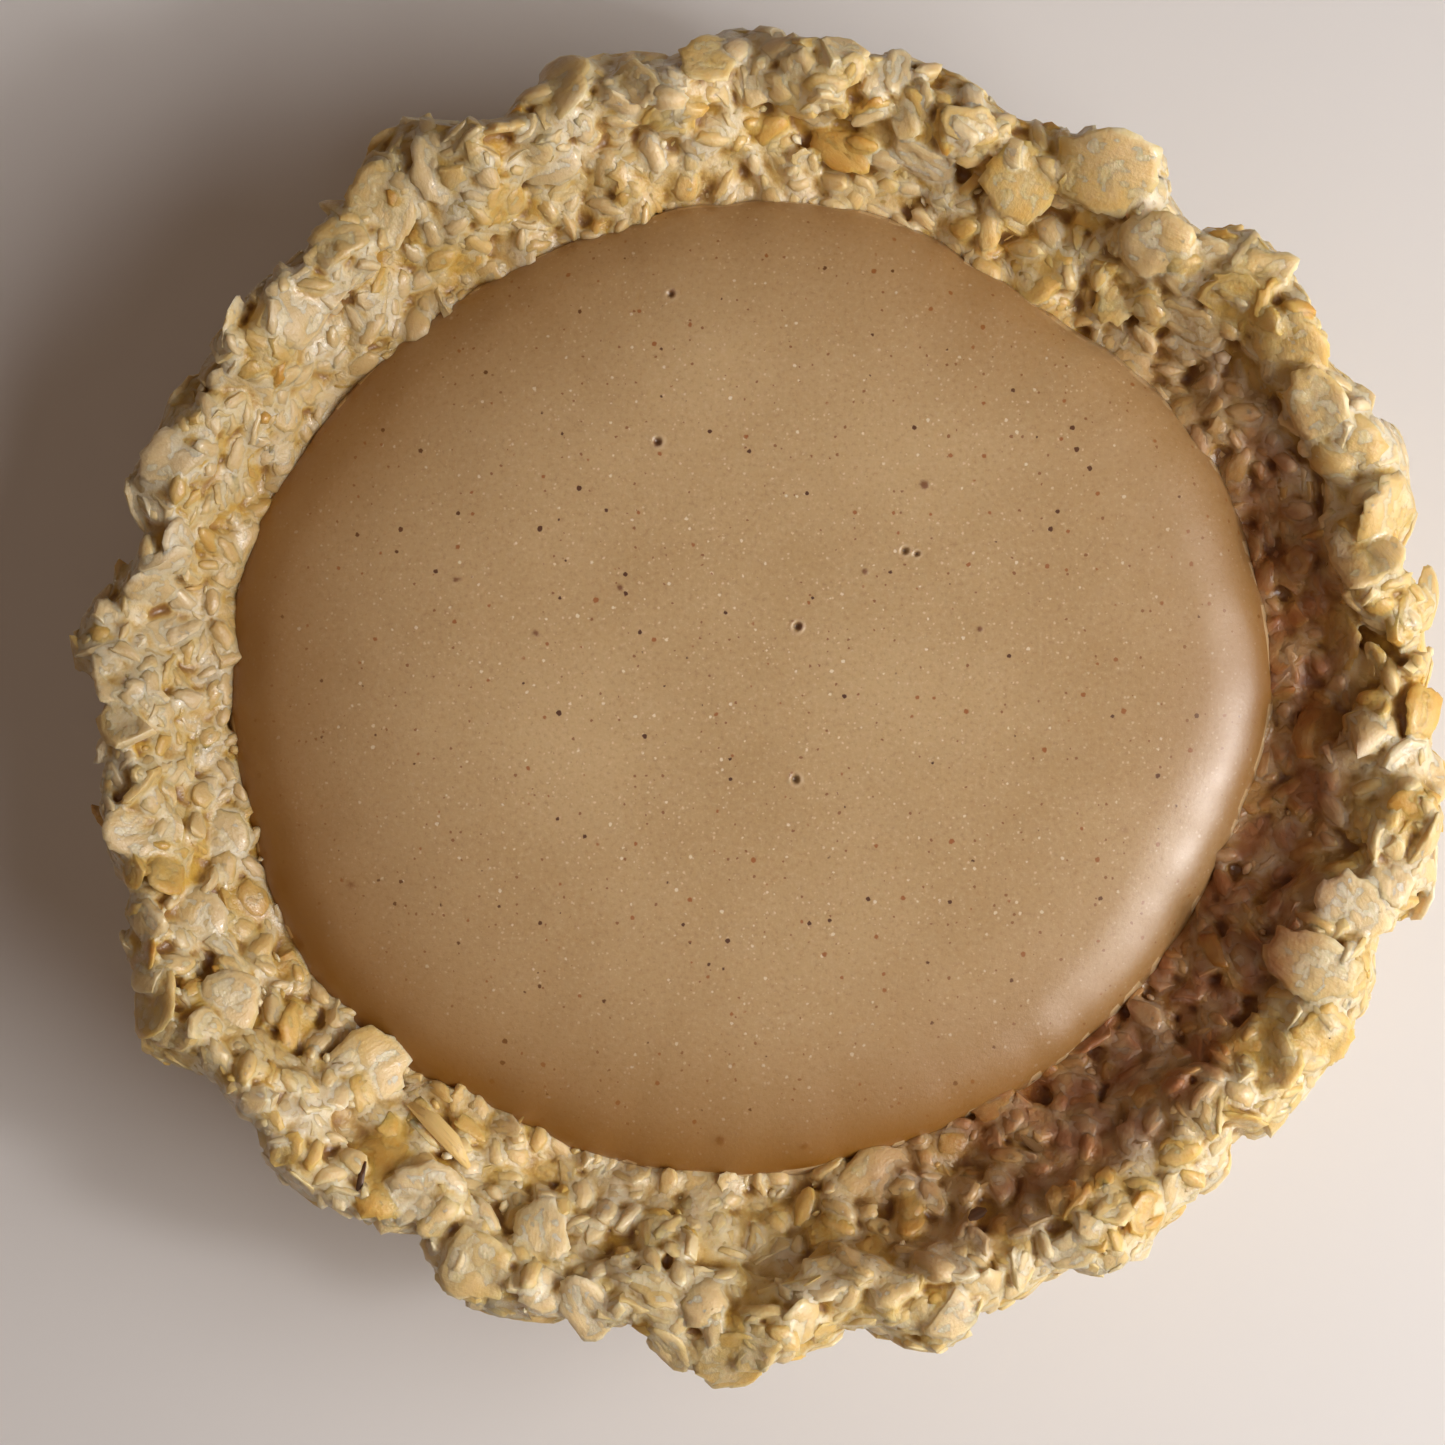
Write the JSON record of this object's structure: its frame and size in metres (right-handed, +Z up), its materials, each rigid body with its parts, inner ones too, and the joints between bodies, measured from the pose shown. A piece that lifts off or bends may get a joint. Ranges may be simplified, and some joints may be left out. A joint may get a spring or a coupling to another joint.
{
  "type": "pumpkin spice tart",
  "caption": "Round single-serve tart: a craggy fluted crust of pressed rolled oats, flat underneath, round a smooth low-domed spiced filling.",
  "frame": {"origin": "on the surface the tart stands on, under the middle of its bounding box", "axes": "+Z up out of the filling; +Y is away from a viewer who stands where the picture's lower edge is"},
  "size_m": [0.1204, 0.118, 0.0301],
  "materials": {
    "toasted_oats": "craggy, moist pressed oats",
    "spice_filling": "smooth, softly glossy set cream"
  },
  "bodies": {
    "root": {"oat_crust": "toasted_oats", "spice_filling": "spice_filling"}
  },
  "joints": []
}
